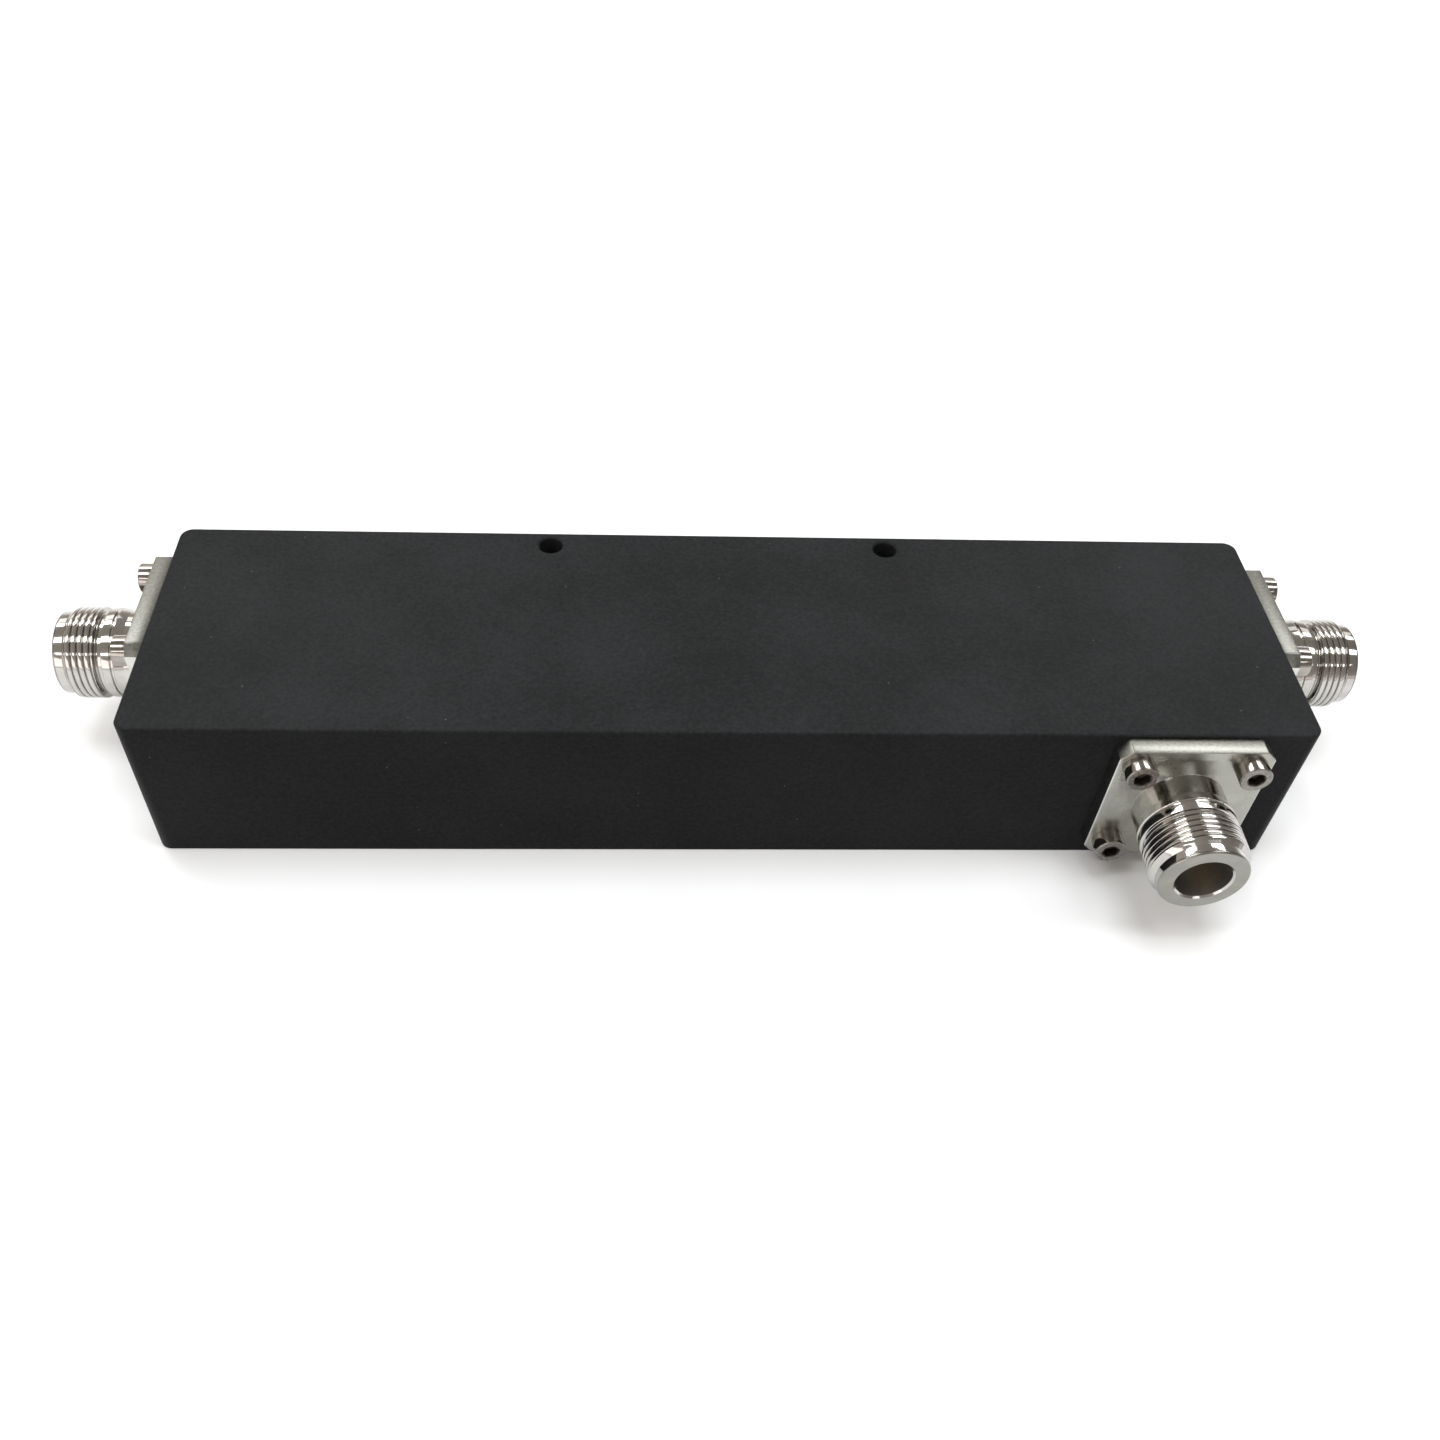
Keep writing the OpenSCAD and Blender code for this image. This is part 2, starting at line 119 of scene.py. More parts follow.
# One turn of the thread from crest to crest, as parts of the pitch and of the depth.
# The crests are wide and flat.
THREAD_FORM = [
    (0.0, 0.0), (0.3, 0.0), (0.322, 0.03), (0.345, 0.12), (0.39, 0.45), (0.435, 0.8), (0.465, 0.96),
    (0.5, 1.0), (0.535, 0.96), (0.565, 0.8), (0.61, 0.45), (0.655, 0.12), (0.678, 0.03), (0.7, 0.0),
]

# Angles in degrees above which an edge is shaded sharp
SHARP, BLOCK_SHARP, SHELL_SHARP = 38.0, 32, 42


# Materials
def adder(tree):
    """A function that adds a shader node to the tree and sets the values it is given."""
    def add(kind, **values):
        node = tree.nodes.new("ShaderNode" + kind)
        for key, value in values.items():
            if key in node.inputs:
                node.inputs[key].default_value = value
            else:
                setattr(node, key, value)
        return node

    return add


def material(name):
    """A new node material, its Principled shader and the functions that add and link nodes."""
    mat = bpy.data.materials.new(name)
    mat.use_nodes = True
    tree = mat.node_tree
    shader = next(n for n in tree.nodes if n.type == "BSDF_PRINCIPLED")
    return mat, shader, adder(tree), tree.links.new


def ramp(add, *stops):
    """A colour ramp with the given (position, grey or colour) stops."""
    node = add("ValToRGB")
    elements = node.color_ramp.elements
    while len(elements) < len(stops):
        elements.new(0.5)
    for element, (at, colour) in zip(elements, stops):
        element.position = at
        rgb = (colour,) * 3 if isinstance(colour, float) else colour
        element.color = (*rgb, 1)
    return node


def pattern(add, link, place, kind, **values):
    """A texture node of the given kind at the coordinates of place."""
    node = add(kind, **values)
    link(place, node.inputs["Vector"])
    return node


def mottle(add, link, shader, source, low, high, span=(0.35, 0.65)):
    """Colours the shader from low to high, as source goes over the span."""
    tone = ramp(add, (span[0], low), (span[1], high))
    link(source, tone.inputs["Fac"])
    link(tone.outputs["Color"], shader.inputs["Base Color"])


def polish(add, link, shader, source, rough, span=(0.0, 1.0)):
    """Makes the shader's roughness go from one value to the other, as source goes over the span."""
    ends = {"From Min": span[0], "From Max": span[1], "To Min": rough[0], "To Max": rough[1]}
    gloss = add("MapRange", **ends)
    link(source, gloss.inputs["Value"])
    link(gloss.outputs["Result"], shader.inputs["Roughness"])


def powder_coat(name, low, high, rough, specular):
    """Matt black powder coat: fine sandy grain, faint clouding and a few specks of dust."""
    grain_share, cloud_share = 0.62, 0.38
    bare_cells, dust_colour = 0.6, (0.075, 0.077, 0.077, 1)
    mat, shader, add, link = material(name)
    place = add("TexCoord").outputs["Object"]
    grain = pattern(add, link, place, "TexNoise", Scale=1500.0, Detail=4.0, Roughness=0.7)
    cloud = pattern(add, link, place, "TexNoise", Scale=45.0, Detail=4.0, Roughness=0.55)
    pebble = pattern(add, link, place, "TexVoronoi", Scale=1900.0)
    mixed = add("Math", operation="MULTIPLY_ADD")
    mixed.inputs[1].default_value = grain_share
    link(grain.outputs["Fac"], mixed.inputs[0])
    part = add("Math", operation="MULTIPLY")
    part.inputs[1].default_value = cloud_share
    link(cloud.outputs["Fac"], part.inputs[0])
    link(part.outputs[0], mixed.inputs[2])
    tone = ramp(add, (0.4, low), (0.6, high))
    link(mixed.outputs[0], tone.inputs["Fac"])

    # Dust: a small round speck in some of the cells
    dust = pattern(add, link, place, "TexVoronoi", Scale=300.0)
    near = ramp(add, (0.0, 1.0), (0.03, 1.0), (0.055, 0.0))
    link(dust.outputs["Distance"], near.inputs["Fac"])
    some = add("Math", operation="GREATER_THAN")
    some.inputs[1].default_value = bare_cells
    split = add("SeparateColor")
    link(dust.outputs["Color"], split.inputs[0])
    link(split.outputs[0], some.inputs[0])
    speck = add("Math", operation="MULTIPLY")
    link(near.outputs["Color"], speck.inputs[0])
    link(some.outputs[0], speck.inputs[1])
    colour = add("MixRGB", Color2=dust_colour)
    link(speck.outputs[0], colour.inputs["Fac"])
    link(tone.outputs["Color"], colour.inputs["Color1"])
    link(colour.outputs["Color"], shader.inputs["Base Color"])

    polish(add, link, shader, grain.outputs["Fac"], rough)
    shader.inputs["Specular IOR Level"].default_value = specular

    height = add("Math", operation="ADD")
    link(grain.outputs["Fac"], height.inputs[0])
    link(pebble.outputs["Distance"], height.inputs[1])
    bump = add("Bump", Strength=0.35, Distance=0.00006)
    link(height.outputs[0], bump.inputs["Height"])
    link(bump.outputs["Normal"], shader.inputs["Normal"])
    return mat


def plated(name, low, high, rough, mark, grain, clouds=260.0, grain_scale=5200.0):
    """Plated metal: turning marks that follow the piece's axis, fine grain and uneven polish."""
    mat, shader, add, link = material(name)
    place = add("TexCoord").outputs["Object"]
    shader.inputs["Metallic"].default_value = 1.0
    cloud = pattern(add, link, place, "TexNoise", Scale=clouds, Detail=4.0, Roughness=0.6)
    mottle(add, link, shader, cloud.outputs["Fac"], low, high)
    polish(add, link, shader, cloud.outputs["Fac"], rough, (0.3, 0.7))

    # The marks change with the distance from the axis and along it
    axis = add("SeparateXYZ")
    link(place, axis.inputs[0])
    flat = add("CombineXYZ")
    link(axis.outputs["X"], flat.inputs["X"])
    link(axis.outputs["Y"], flat.inputs["Y"])
    radius = add("VectorMath", operation="LENGTH")
    link(flat.outputs[0], radius.inputs[0])
    along = add("Math", operation="ADD")
    link(radius.outputs["Value"], along.inputs[0])
    link(axis.outputs["Z"], along.inputs[1])
    turned = add("TexNoise", noise_dimensions="1D", Scale=11000.0, Detail=2.0)
    link(along.outputs[0], turned.inputs["W"])
    first = add("Bump", Strength=mark, Distance=0.000004)
    link(turned.outputs["Fac"], first.inputs["Height"])
    rough_grain = pattern(add, link, place, "TexNoise", Scale=grain_scale, Detail=2.0)
    second = add("Bump", Strength=grain, Distance=0.00001)
    link(rough_grain.outputs["Fac"], second.inputs["Height"])
    link(first.outputs["Normal"], second.inputs["Normal"])
    link(second.outputs["Normal"], shader.inputs["Normal"])
    return mat


def plain_solid(name, low, high, rough, scale, grain):
    """A non-metal with faint mottling, such as white plastic or ceramic."""
    mat, shader, add, link = material(name)
    place = add("TexCoord").outputs["Object"]
    noise = pattern(add, link, place, "TexNoise", Scale=scale, Detail=4.0, Roughness=0.6)
    mottle(add, link, shader, noise.outputs["Fac"], low, high)
    polish(add, link, shader, noise.outputs["Fac"], rough)
    bump = add("Bump", Strength=grain, Distance=0.00002)
    link(noise.outputs["Fac"], bump.inputs["Height"])
    link(bump.outputs["Normal"], shader.inputs["Normal"])
    return mat


COAT = powder_coat("black_powder_coat", (0.0135, 0.0142, 0.0149), (0.0228, 0.0239, 0.0251),
                   (0.40, 0.54), 0.045)
# Plated metals: darkest and lightest colour, roughness, strength of turning marks and of grain,
# and for some the scale of the clouding and of the grain
BARREL = plated("nickel_turned", (0.46, 0.447, 0.425), (0.55, 0.537, 0.513),
                (0.06, 0.11), 0.25, 0.02)
FACE = plated("nickel_flange", (0.322, 0.322, 0.292), (0.378, 0.378, 0.342),
              (0.22, 0.30), 0.06, 0.05)
# Flange rims: a milled grain, and a colour darkened as painted shade
EDGE = plated("nickel_milled_edge_painted_shade", (0.235, 0.235, 0.213), (0.33, 0.33, 0.299),
              (0.28, 0.36), 0.05, 0.6, 1900.0, 2400.0)
# The end ports' flange rims: the same milled finish, painted darker still as shade
END_EDGE = plated("nickel_end_flange_edge_painted_shade", (0.16, 0.16, 0.145), (0.226, 0.226, 0.205),
                  (0.28, 0.36), 0.05, 0.6, 1900.0, 2400.0)
# Upright flange sides: a smooth finish, and a colour lightened as painted light
SIDE = plated("nickel_smooth_side_painted_light", (0.50, 0.50, 0.47), (0.60, 0.60, 0.57), (0.08, 0.14), 0.05, 0.1)
# Nose and mouth face: a darker copy of the flange's nickel, painted shade
NOSE = plated("nickel_nose_painted_shade", (0.25, 0.247, 0.224), (0.297, 0.293, 0.266), (0.18, 0.26), 0.3, 0.05)
BORE = plated("nickel_bore", (0.34, 0.325, 0.305), (0.42, 0.40, 0.38), (0.36, 0.46), 0.3, 0.05)
STEEL = plated("screw_plate", (0.29, 0.27, 0.245), (0.38, 0.355, 0.325), (0.09, 0.17), 0.15, 0.1)
# Screw heads' top face: a rougher grain, and a darker colour that is painted shade
HEAD_TOP = plated("screw_head_top_painted_shade", (0.19, 0.177, 0.161), (0.28, 0.262, 0.24),
                  (0.24, 0.34), 0.3, 0.5, 1500.0, 3000.0)
# Hex sockets: a near black colour, painted shade in the recess
SOCKET_SHADE = plated("screw_socket_painted_shade", (0.05, 0.045, 0.04), (0.10, 0.09, 0.08), (0.45, 0.6), 0.1, 0.3)
DARK_STEEL = plated("cover_screw_steel", (0.30, 0.30, 0.30), (0.42, 0.42, 0.42),
                    (0.22, 0.34), 0.2, 0.15)
SILVER = plated("silver_plate", (0.78, 0.77, 0.72), (0.86, 0.85, 0.81), (0.18, 0.3), 0.05, 0.1)
GOLD = plated("gold_plate", (0.74, 0.52, 0.22), (0.83, 0.62, 0.29), (0.14, 0.22), 0.15, 0.05)
LOAD_PLATE = plated("load_base_plate", (0.66, 0.63, 0.58), (0.76, 0.73, 0.68),
                    (0.22, 0.34), 0.05, 0.15)
PLASTIC = plain_solid("white_plastic", (0.78, 0.78, 0.75), (0.86, 0.86, 0.84),
                      (0.38, 0.5), 900.0, 0.15)
CERAMIC = plain_solid("ceramic", (0.74, 0.73, 0.69), (0.84, 0.83, 0.79), (0.5, 0.65), 1600.0, 0.25)


# Meshes
class Builder:
    """Collects rings of points and faces between them, in millimetres, for one mesh."""

    def __init__(self):
        self.verts, self.faces, self.mats, self.smooth = [], [], [], []
        self.at = Matrix.Identity(4)

    def ring(self, points):
        """Adds points, placed by self.at, and returns their numbers."""
        first = len(self.verts)
        self.verts += [tuple((self.at @ Vector(p)) * MM) for p in points]
        return list(range(first, len(self.verts)))

    def face(self, ids, mat, smooth):
        self.faces.append(ids)
        self.mats.append(mat)
        self.smooth.append(smooth)

    def bridge(self, a, b, mat=0, smooth=True):
        """Joins two rings of equally many points."""
        for i in range(len(a)):
            k = (i + 1) % len(a)
            self.face([a[i], a[k], b[k], b[i]], mat, smooth)

    def fill(self, loops, mat=0):
        """A flat face inside the first loop and outside the others."""
        ids = [i for loop in loops for i in loop]
        points = [[Vector(self.verts[i]) / MM for i in loop] for loop in loops]
        for tri in tessellate_polygon(points):
            self.face([ids[i] for i in tri], mat, False)

    def make(self, name, materials, sharp=SHARP, matrix=None):
        """The object with this mesh."""
        mesh = bpy.data.meshes.new(name)
        mesh.from_pydata(self.verts, [], self.faces)
        mesh.polygons.foreach_set("material_index", self.mats)
        mesh.polygons.foreach_set("use_smooth", self.smooth)
        tidy(mesh, sharp)
        for m in materials:
            mesh.materials.append(m)
        obj = bpy.data.objects.new(name, mesh)
        bpy.context.scene.collection.objects.link(obj)
        if matrix is not None:
            obj.matrix_world = matrix
        return obj


def tidy(mesh, sharp):
    """Joins double points, turns all faces outwards and marks the sharp edges."""
    bm = bmesh.new()
    bm.from_mesh(mesh)
    bmesh.ops.remove_doubles(bm, verts=bm.verts, dist=2e-7)
    bmesh.ops.recalc_face_normals(bm, faces=bm.faces)
    bm.to_mesh(mesh)
    bm.free()
    mesh.set_sharp_from_angle(angle=math.radians(sharp))


def circle(r, z, n, centre=(0, 0), turn=0.0):
    """n points around a circle."""
    angles = [turn + TAU * i / n for i in range(n)]
    return [(centre[0] + r * math.cos(t), centre[1] + r * math.sin(t), z) for t in angles]


def rounded(corners, steps=4, closed=False):
    """Points of a line whose (x, y, radius) corners are rounded."""
    out = []
    n = len(corners)
    for k, (x, y, rad) in enumerate(corners):
        p = np.array((x, y), float)
        if rad <= 0 or (not closed and k in (0, n - 1)):
            out.append((x, y))
            continue
        a = np.array(corners[k - 1][:2], float) - p
        b = np.array(corners[(k + 1) % n][:2], float) - p
        la, lb = np.hypot(*a), np.hypot(*b)
        a, b = a / la, b / lb
        half = math.acos(max(-1.0, min(1.0, float(a @ b)))) / 2
        # A rounding takes up less than half of the shorter side
        d = min(rad / math.tan(half), 0.49 * la, 0.49 * lb)
        rad = d * math.tan(half)
        centre = p + (a + b) / np.hypot(*(a + b)) * rad / math.sin(half)
        u, v = p + a * d - centre, p + b * d - centre
        start = math.atan2(u[1], u[0])
        sweep = (math.atan2(v[1], v[0]) - start + math.pi) % TAU - math.pi
        for i in range(steps + 1):
            t = start + sweep * i / steps
            out.append((centre[0] + rad * math.cos(t), centre[1] + rad * math.sin(t)))
    return out


def outline(low, high, r, inset, steps=10):
    """A rectangle with rounded corners, drawn in by inset."""
    x0, y0, x1, y1 = low[0] + inset, low[1] + inset, high[0] - inset, high[1] - inset
    corners = ((x1, y0), (x1, y1), (x0, y1), (x0, y0))
    return rounded([(x, y, r - inset) for x, y in corners], steps, closed=True)


def quarter(r, steps=4):
    """(inset, rise) of a rounded edge of radius r, from the face to the side."""
    angles = np.linspace(0, math.pi / 2, steps + 1)
    return [(r * (1 - math.sin(t)), r * (1 - math.cos(t))) for t in angles]


def block(low, high, r, z0, z1, bottom_r=0.0, top_r=0.0, steps=10):
    """A block with rounded upright edges, and rounded top and bottom edges of a given radius."""
    b = Builder()
    levels = [(i, z0 + z) for i, z in quarter(bottom_r)] if bottom_r else [(0.0, z0)]
    levels += [(i, z1 - z) for i, z in reversed(quarter(top_r))] if top_r else [(0.0, z1)]
    rings = [b.ring([(x, y, z) for x, y in outline(low, high, r, i, steps)]) for i, z in levels]
    for a, c in zip(rings, rings[1:]):
        b.bridge(a, c)
    b.face(rings[0], 0, False)
    b.face(rings[-1], 0, False)
    return b


def lathe(builder, profile, n, mat=0):
    """Rings of a profile, joined; returns the first and last ring."""
    rings = [builder.ring(circle(r, z, n)) for r, z in profile]
    for a, c in zip(rings, rings[1:]):
        builder.bridge(a, c, mat)
    return rings[0], rings[-1]


def drills(profile, places, n, at=Matrix.Identity(4)):
    """Closed turned solids to cut with, n points around, one at each (x, y) place of a face."""
    out = []
    for x, y in places:
        b = Builder()
        b.at = at @ Matrix.Translation((x, y, 0))
        for end in lathe(b, profile, n):
            b.face(end, 0, False)
        out.append(b.make("cutter", []))
    return out


def cut(obj, tools):
    """Takes the tools out of obj's mesh, then deletes them."""
    for t in tools:
        m = obj.modifiers.new("cut", "BOOLEAN")
        m.operation, m.solver, m.object = "DIFFERENCE", "EXACT", t
    bpy.context.view_layer.update()
    evaluated = obj.evaluated_get(bpy.context.evaluated_depsgraph_get())
    done = bpy.data.meshes.new_from_object(evaluated)
    old = obj.data
    obj.modifiers.clear()
    obj.data = done
    done.name = obj.name
    bpy.data.meshes.remove(old)
    for t in tools:
        mesh = t.data
        bpy.data.objects.remove(t)
        bpy.data.meshes.remove(mesh)


def flat_where_straight(mesh):
    """Faces square to the axes are shaded flat, the rounded ones between them smooth."""
    square = 0.9999
    tidy(mesh, BLOCK_SHARP)
    for p in mesh.polygons:
        p.use_smooth = max(abs(c) for c in p.normal) < square


def finished(obj, node):
    """Makes obj stand for a CAD node."""
    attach(obj, "root")
    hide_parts(node)
    return obj


# Housing and cover
def build_housing():
    """The block with its cavity, the cover's seat and all holes."""
    half = (BODY[0] / 2, BODY[1] / 2)
    body = block((-half[0], -half[1]), half, BODY_R, 0, BODY[2], BODY_LOW_EDGE, BODY_TOP_EDGE,
                 steps=12)
    obj = body.make("housing_body", [COAT])
    cavity = block(CAVITY_LOW, CAVITY_HIGH, CAVITY_R, -PAST, CAVITY_TOP).make("cavity", [])
    pedestal = block(PEDESTAL_LOW[:2], PEDESTAL_HIGH[:2], PEDESTAL_R,
                     PEDESTAL_LOW[2], PEDESTAL_HIGH[2], steps=2)
    cut(cavity, [pedestal.make("pedestal", [])])
    tools = [cavity, block(SEAT_LOW, SEAT_HIGH, SEAT_R, -PAST, COVER_T).make("seat", [])]
    wide, top = MOUNT_R + MOUNT_CUT, BODY[2]
    mount = [(wide + PAST, -PAST), (wide, 0), (MOUNT_R, MOUNT_CUT),
             (MOUNT_R, top - MOUNT_CUT), (wide, top), (wide + PAST, top + PAST)]
    tools += drills(mount, MOUNT_HOLES, n=48)
    tools += drills(COVER_HOLE, COVER_SCREWS, n=20)
    tools += drills(LOAD_HOLE, LOAD_SCREWS, n=20)
    for name, at in PORTS.items():
        through = [(PORT_HOLE_R, -WALL[name] - PAST), (PORT_HOLE_R, PAST)]
        screw_hole = [(SCREW_HOLE_R, FLANGE_T - SCREW_HOLE_L), (SCREW_HOLE_R, PAST)]
        tools += drills(through, [(0, 0)], n=64, at=at)
        tools += drills(screw_hole, SCREW_PLACES, n=24, at=at)
    cut(obj, tools)
    flat_where_straight(obj.data)
    return finished(obj, "housing")


def build_cover():
    """The plate in the underside, with countersunk holes."""
    low = [c + COVER_PLAY for c in SEAT_LOW]
    high = [c - COVER_PLAY for c in SEAT_HIGH]
    plate = block(low, high, SEAT_R, 0, COVER_T, COVER_LOW_EDGE, COVER_TOP_EDGE)
    obj = plate.make("cover_plate", [COAT])
    cut(obj, drills(COVER_SINK, COVER_SCREWS, n=40))
    flat_where_straight(obj.data)
    return finished(obj, "bottom_cover")


# Screws
def hexagon(r, z, turn):
    """HEX_N points around a hexagon, equally many on each side."""
    corners = circle(r, z, 6, turn=turn)
    each = HEX_N // 6
    sides = zip(corners, corners[1:] + corners[:1])
    return [tuple(Vector(a).lerp(Vector(b), k / each)) for a, b in sides for k in range(each)]


def screw(builder, shank, head, top, hex_w, depth, n, turn):
    """One screw along Z: the turned shank and head, and a hexagon socket in the head's top face.

    The last rows of the profile, the head's upper edge, have the top face's material, which on the
    port screws is a darker copy of the steel: painted shade.
    """
    outside, socket, upper_face = range(3)
    profile, rim = shank + head, HEAD_STEPS
    first = lathe(builder, profile[:-rim], n, outside)[0]
    last = lathe(builder, profile[-rim - 1:], n, upper_face)[1]
    builder.face(first, outside, False)
    r = hex_w / math.sqrt(3)
    entry = r * HEX_ENTRY
    mouth = builder.ring(circle(entry, top, HEX_N, turn=turn))
    upper, lower = (builder.ring(hexagon(r, z, turn)) for z in (top - (entry - r), top - depth))
    builder.fill([last, mouth], upper_face)
    # The socket's walls take the near black material, painted shade
    builder.bridge(mouth, upper, socket)
    builder.bridge(upper, lower, socket, False)
    tip = builder.ring([(0, 0, top - depth - HEX_TIP * r)])[0]
    for i in range(HEX_N):
        builder.face([lower[i], lower[(i + 1) % HEX_N], tip], socket, False)


def build_port_screws(name):
    """The four socket head screws of a port."""
    corners = [(SHANK[-1][0], 0.0, 0), (HEAD_R, 0.0, HEAD_LOW_EDGE),
               (HEAD_R, HEAD_H, HEAD_TOP_EDGE), (HEAD_FLAT_R, HEAD_H, 0)]
    head = rounded(corners, HEAD_STEPS)[1:]
    b = Builder()
    for (u, v), turn in zip(SCREW_PLACES, HEX_TURNS[name]):
        b.at = Matrix.Translation((u, v, FLANGE_T))
        screw(b, SHANK, head, HEAD_H, HEX_W, HEX_DEPTH, n=48, turn=math.radians(turn))
    obj = b.make(name + "_port_screws", [STEEL, SOCKET_SHADE, HEAD_TOP], matrix=placed(name))
    return finished(obj, name + "_screws")


def build_cover_screws():
    """The cover's countersunk screws, heads down."""
    b = Builder()
    for i, (x, y) in enumerate(COVER_SCREWS):
        b.at = Matrix.Translation((x, y, 0)) @ Matrix.Rotation(math.pi, 4, "X")
        screw(b, COVER_SHANK, COVER_HEAD, COVER_HEAD_TOP, COVER_HEX_W, COVER_HEX_DEPTH, n=40,
              turn=math.radians(COVER_HEX_STEP * i))
    obj = b.make("cover_plate_screws", [DARK_STEEL, SOCKET_SHADE, DARK_STEEL])
    return finished(obj, "cover_screws")


# Port shells
def thread_radius(s, angle):
    """Radius of the threaded part at station s: the helix, cut by the slope down to the nose."""
    phase = ((s - THREAD_S0) / PITCH - angle / TAU) % 1.0
    at = np.array([p for p, _ in THREAD_FORM] + [1.0])
    deep = np.array([d for _, d in THREAD_FORM] + [0.0])
    r = THREAD_R - THREAD_DEPTH * np.interp(phase, at, deep)
    slope = THREAD_R - (s - THREAD_S1) * (THREAD_R - NOSE_R) / (LEAD_END - THREAD_S1)
    return np.minimum(r, slope)


def thread(builder, mat):
    """The threaded part, on rows that run along the helix; returns its first and last ring."""
    n, form = TURN_N, [p for p, _ in THREAD_FORM]
    m = len(form)
    angle = TAU * np.arange(n) / n

    def ring(s):
        r = thread_radius(s, angle)
        return builder.ring(list(zip(r * np.cos(angle), r * np.sin(angle), s)))

    turns = math.ceil((LEAD_END - THREAD_S0) / PITCH)
    rows = []
    for j in range(-m, (turns + 1) * m + 1):
        s = THREAD_S0 + PITCH * (j // m + form[j % m] + angle / TAU)
        rows.append(ring(np.clip(s, THREAD_S0, LEAD_END)))
    for j in range(len(rows) - 1):
        for i in range(n):
            a, c = rows[j][i], rows[j + 1][i]
            if i < n - 1:
                b, d = rows[j][i + 1], rows[j + 1][i + 1]
            elif j + m + 1 < len(rows):
                # A row's end meets the start of the row one turn on
                b, d = rows[j + m][0], rows[j + m + 1][0]
            else:
                continue
            builder.face([a, b, d, c], mat, True)
    return [ring(np.full(n, s)) for s in (THREAD_S0, LEAD_END)]


def flange_outline(inset):
    """The square flange with its cut corners, drawn in by inset."""
    h = FLANGE_HALF - inset
    c = FLANGE_HALF - FLANGE_CUT - inset * CUT_SHIFT
    corners = [(c, -h), (h, -c), (h, c), (c, h), (-c, h), (-h, c), (-h, -c), (-c, -h)]
    r = FLANGE_CORNER_R - inset
    return rounded([(x, y, r) for x, y in corners], steps=3, closed=True)


def build_shell(name):
    """A port's flange and barrel, one piece."""
    b = Builder()
    n = TURN_N
    turned, face, edge, inside, side, nose_face = range(6)
    # Outside, from the flange's face to the thread
    neck, groove = lathe(b, rounded(BARREL_CORNERS, steps=5)[1:-1], n, turned)
    start, end = thread(b, turned)
    b.bridge(groove, start, turned, False)
    # Nose, mouth and bore
    nose = rounded([(NOSE_R, LEAD_END, 0), (NOSE_R, MOUTH, NOSE_EDGE),
                    (BORE_R + MOUTH_CUT, MOUTH, 0)], steps=5)[:-1]
    b.bridge(end, lathe(b, nose[:2], n, turned)[0], turned)
    # The nose's rounded edge and the mouth face take the darker nickel, painted shade
    rim = lathe(b, nose[1:], n, nose_face)[1]
    bevel = [(BORE_R + MOUTH_CUT, MOUTH), (BORE_R, MOUTH - MOUTH_CUT)]
    mouth = lathe(b, bevel, n, turned)[0]
    lip_s = INSULATOR_S - LIP_T
    bore = [(BORE_R, MOUTH - MOUTH_CUT), (BORE_R, INSULATOR_S), (LIP_R, INSULATOR_S),
            (LIP_R, lip_s), (INSULATOR_R, lip_s), (INSULATOR_R, 0.0)]
    seat_end = lathe(b, bore, n, inside)[1]
    b.bridge(rim, mouth, nose_face, False)
    # Flange. Its sides that run up and down are smoother and painted lighter, and its top and
    # bottom sides are painted darker: painted light and shade by the way each side faces.
    up = PORTS[name].to_3x3().inverted() @ Vector((0, 0, 1))
    upright = 0.8
    levels = quarter(FLANGE_BACK_EDGE, steps=2)
    levels += [(i, FLANGE_T - z) for i, z in reversed(quarter(FLANGE_FRONT_EDGE, steps=3))]
    rings = [b.ring([(x, y, z) for x, y in flange_outline(i)]) for i, z in levels]
    for lower, upper in zip(rings, rings[1:]):
        first = len(b.faces)
        b.bridge(lower, upper, edge)
        for k in range(first, len(b.faces)):
            across = Vector(b.verts[b.faces[k][1]]) - Vector(b.verts[b.faces[k][0]])
            if abs(across.normalized().dot(up)) > upright:
                b.mats[k] = side
    front, back = [rings[-1], neck], [rings[0], seat_end]
    for place in SCREW_PLACES:
        low, high = (b.ring(circle(FLANGE_HOLE_R, z, n=32, centre=place)) for z in (0.0, FLANGE_T))
        b.bridge(low, high, face)
        front.append(high)
        back.append(low)
    b.fill(front, face)
    b.fill(back, face)
    # The end ports' rims get the darker copy, painted shade
    shaded_rim = EDGE if name == "coupled" else END_EDGE
    finishes_and_painted_shades = [BARREL, FACE, shaded_rim, BORE, SIDE, NOSE]
    obj = b.make(name + "_port_shell", finishes_and_painted_shades, SHELL_SHARP, placed(name))
    return finished(obj, name + "_shell")


def placed(name):
    """A port's frame in metres."""
    at = PORTS[name].copy()
    at.translation *= MM
    return at


build_housing()
build_cover()
build_cover_screws()
for port in PORTS:
    build_shell(port)
    build_port_screws(port)

# The inner pieces keep their CAD shape and get a better finish
CARRIED = {
    "main_line": SILVER, "coupled_line": SILVER, "left_support": PLASTIC, "right_support": PLASTIC,
    "load_base": LOAD_PLATE, "load_chip": CERAMIC, "load_tab": SILVER, "load_screws": DARK_STEEL,
}
for port in PORTS:
    CARRIED[port + "_insulator"] = PLASTIC
    CARRIED[port + "_contact"] = GOLD
for node, mat in CARRIED.items():
    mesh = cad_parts[node].data
    mesh.materials.clear()
    mesh.materials.append(mat)


# Floor, light and camera, in metres
FLOOR_R, BACKDROP_R = 0.9, 9.0
# Ceiling lamps in pairs: (y, radiance) of each row
CEILING_ROWS = ((1.15, 10.0), (-0.35, 8.0), (-2.0, 4.0))
CEILING_X, CEILING_Z, CEILING_SIZE, CEILING_COLOUR = 1.07, 1.6, (1.05, 0.4), (0.985, 0.995, 1.0)
CEILING_LEAN = 0.07  # the left lamp of a pair is brighter than the right one
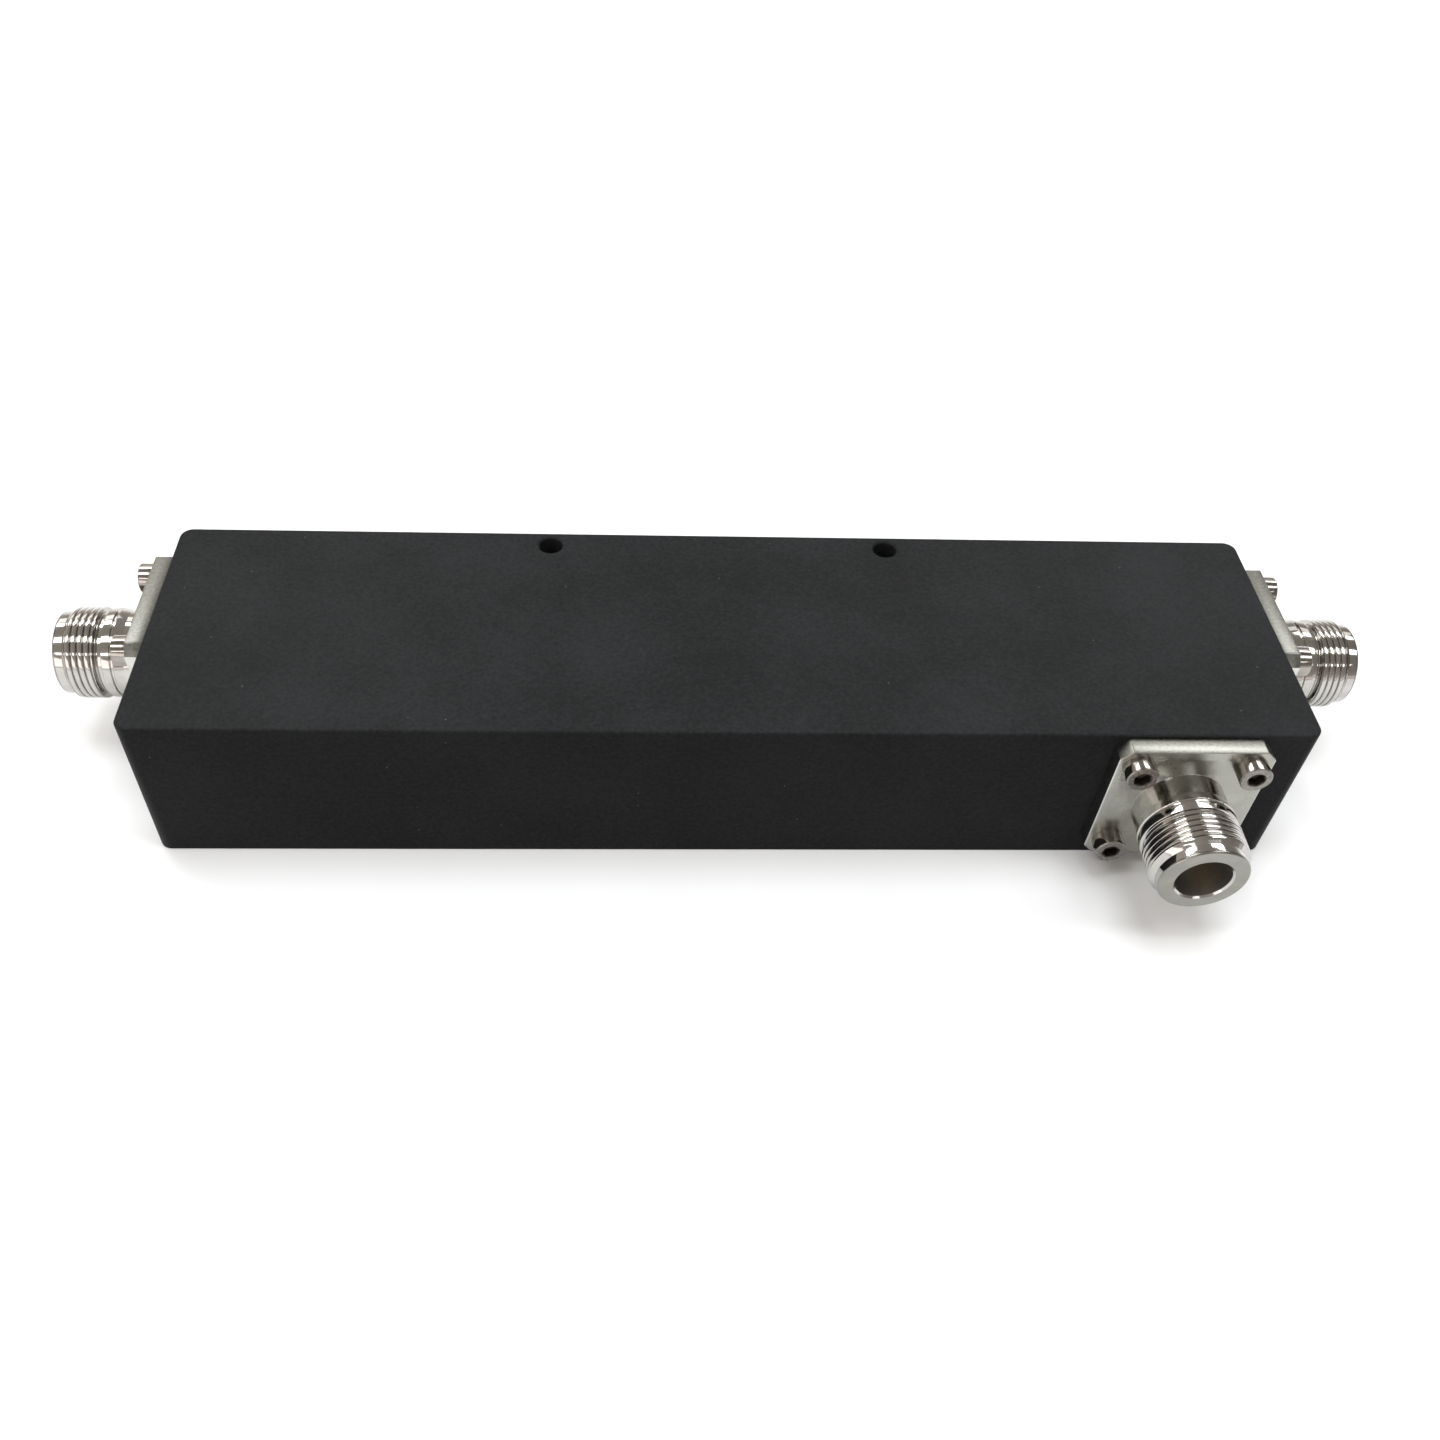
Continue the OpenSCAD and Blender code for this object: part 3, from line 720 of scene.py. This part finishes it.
# The room from below to above, by height of the view direction: dark floor, pale walls, ceiling
ROOM = (
    (0.0, (0.03, 0.03, 0.03)), (0.48, (0.03, 0.03, 0.03)),
    (0.5, (0.8, 0.76, 0.74)), (0.515, (1.4, 1.3, 1.26)), (0.535, (1.2, 1.1, 1.06)),
    (0.56, (0.58, 0.535, 0.5)), (0.66, (0.42, 0.383, 0.346)), (1.0, (0.32, 0.297, 0.265)),
)
ROOM_LEAN = -0.4  # the room is brighter on the left
# The photograph's camera, solved from the edges of the housing, for a frame of 1440 by 1440.
# Its place is counted from the middle of the top face.
FRAME_PX, FOCAL_PX, CENTRE_PX = 1440.0, 1325.14, (690.63, 759.48)
CAMERA_TURN = (2.408171, -0.017000, 0.062704)
CAMERA_AT = (-0.016759, -0.165695, 0.150627)


def staged(name, mat, shape, **sizes):
    """A mesh made by one of bmesh's own shapes, not attached to the object."""
    bm = bmesh.new()
    shape(bm, **sizes)
    mesh = bpy.data.meshes.new(name)
    bm.to_mesh(mesh)
    bm.free()
    mesh.materials.append(mat)
    obj = bpy.data.objects.new(name, mesh)
    bpy.context.scene.collection.objects.link(obj)
    return obj


def build_floor():
    """A plain pale floor. It shows in reflections, but throws no light on matt surfaces."""
    mat, shader, add, link = material("pale_floor")
    place = add("TexCoord").outputs["Object"]
    noise = pattern(add, link, place, "TexNoise", Scale=30.0, Detail=3.0)
    mottle(add, link, shader, noise.outputs["Fac"], (0.86,) * 3, (0.88,) * 3, (0.3, 0.7))
    shader.inputs["Roughness"].default_value = 0.9
    shader.inputs["Specular IOR Level"].default_value = 0.1
    floor = staged("floor", mat, bmesh.ops.create_circle, cap_ends=True, segments=96,
                   radius=FLOOR_R)
    floor.visible_diffuse = False


def build_backdrop():
    """A plain white surround that only the camera sees, so that all views have one background."""
    mat = bpy.data.materials.new("white_surround")
    mat.use_nodes = True
    tree = mat.node_tree
    tree.nodes.clear()
    add = adder(tree)
    tree.links.new(add("Emission").outputs[0], add("OutputMaterial").inputs["Surface"])
    backdrop = staged("backdrop", mat, bmesh.ops.create_uvsphere, u_segments=48, v_segments=24,
                      radius=BACKDROP_R)
    backdrop.visible_diffuse = backdrop.visible_glossy = False
    backdrop.visible_transmission = backdrop.visible_shadow = False


def area_light(name, at, aim, size, radiance, colour):
    """A rectangular softbox of the given radiance."""
    data = bpy.data.lights.new(name, "AREA")
    data.shape = "RECTANGLE"
    data.size, data.size_y = size
    data.energy = radiance * math.pi * size[0] * size[1]
    data.color = colour
    lamp = bpy.data.objects.new(name, data)
    lamp.location = at
    lamp.rotation_mode = "QUATERNION"
    lamp.rotation_quaternion = (Vector(aim) - Vector(at)).to_track_quat("-Z", "Y")
    lamp.visible_camera = False
    bpy.context.scene.collection.objects.link(lamp)
    return lamp


def build_light():
    """Ceiling and overhead lamps, two walls behind, a fill from the front left, and the room."""
    for row, (y, radiance) in enumerate(CEILING_ROWS):
        for side in (-1, 1):
            at = (side * CEILING_X, y, CEILING_Z)
            area_light(f"ceiling_{row}_{side + 1}", at, (at[0], at[1], 0), CEILING_SIZE,
                       radiance * (1.0 - CEILING_LEAN * side), CEILING_COLOUR)
    middle = (0, 0, 0)
    for side in (-1, 1):
        area_light(f"back_wall_{side + 1}", at=(side * 1.3, 2.4, 1.75), aim=middle, size=(1.5, 0.9),
                   radiance=1.3 - 0.25 * side, colour=(1.0, 0.99, 0.97))
    area_light("front_left", at=(-1.35, -1.6, 0.5), aim=middle, size=(2.0, 0.7),
               radiance=1.6, colour=(1.0, 0.93, 0.91))
    # This one lights the matt surfaces and shows in no reflection
    overhead = area_light("overhead", at=(0, 0.2, 2.5), aim=middle, size=(1.2, 1.0),
                          radiance=8.0, colour=(0.95, 1.0, 1.04))
    overhead.visible_glossy = False

    world = bpy.data.worlds.new("studio")
    world.use_nodes = True
    add, link = adder(world.node_tree), world.node_tree.links.new
    back = next(n for n in world.node_tree.nodes if n.type == "BACKGROUND")
    axis = add("SeparateXYZ")
    link(add("TexCoord").outputs["Generated"], axis.inputs[0])
    rise = add("MapRange", **{"From Min": -1.0})
    link(axis.outputs["Z"], rise.inputs["Value"])
    tone = ramp(add, *ROOM)
    link(rise.outputs["Result"], tone.inputs["Fac"])
    link(tone.outputs["Color"], back.inputs["Color"])
    lean = add("Math", operation="MULTIPLY_ADD")
    lean.inputs[1].default_value, lean.inputs[2].default_value = ROOM_LEAN, 1.0
    link(axis.outputs["X"], lean.inputs[0])
    link(lean.outputs[0], back.inputs["Strength"])
    bpy.context.scene.world = world


def build_camera():
    """The photograph's camera."""
    data = bpy.data.cameras.new("photo_camera")
    data.sensor_width = 36.0
    data.lens = FOCAL_PX / FRAME_PX * data.sensor_width
    data.shift_x = 0.5 - CENTRE_PX[0] / FRAME_PX
    data.shift_y = CENTRE_PX[1] / FRAME_PX - 0.5
    data.clip_start, data.clip_end = 0.01, 100.0
    turn = Vector(CAMERA_TURN)
    to_camera = Matrix.Diagonal((1, -1, -1)) @ Matrix.Rotation(turn.length, 3, turn)
    at = Matrix.Translation((CAMERA_AT[0], CAMERA_AT[1], CAMERA_AT[2] + BODY[2] * MM))
    camera = bpy.data.objects.new("photo_camera", data)
    camera.matrix_world = at @ to_camera.transposed().to_4x4()
    bpy.context.scene.collection.objects.link(camera)
    bpy.context.scene.camera = camera


build_floor()
build_backdrop()
build_light()
build_camera()
bpy.context.scene.view_settings.view_transform = "Standard"
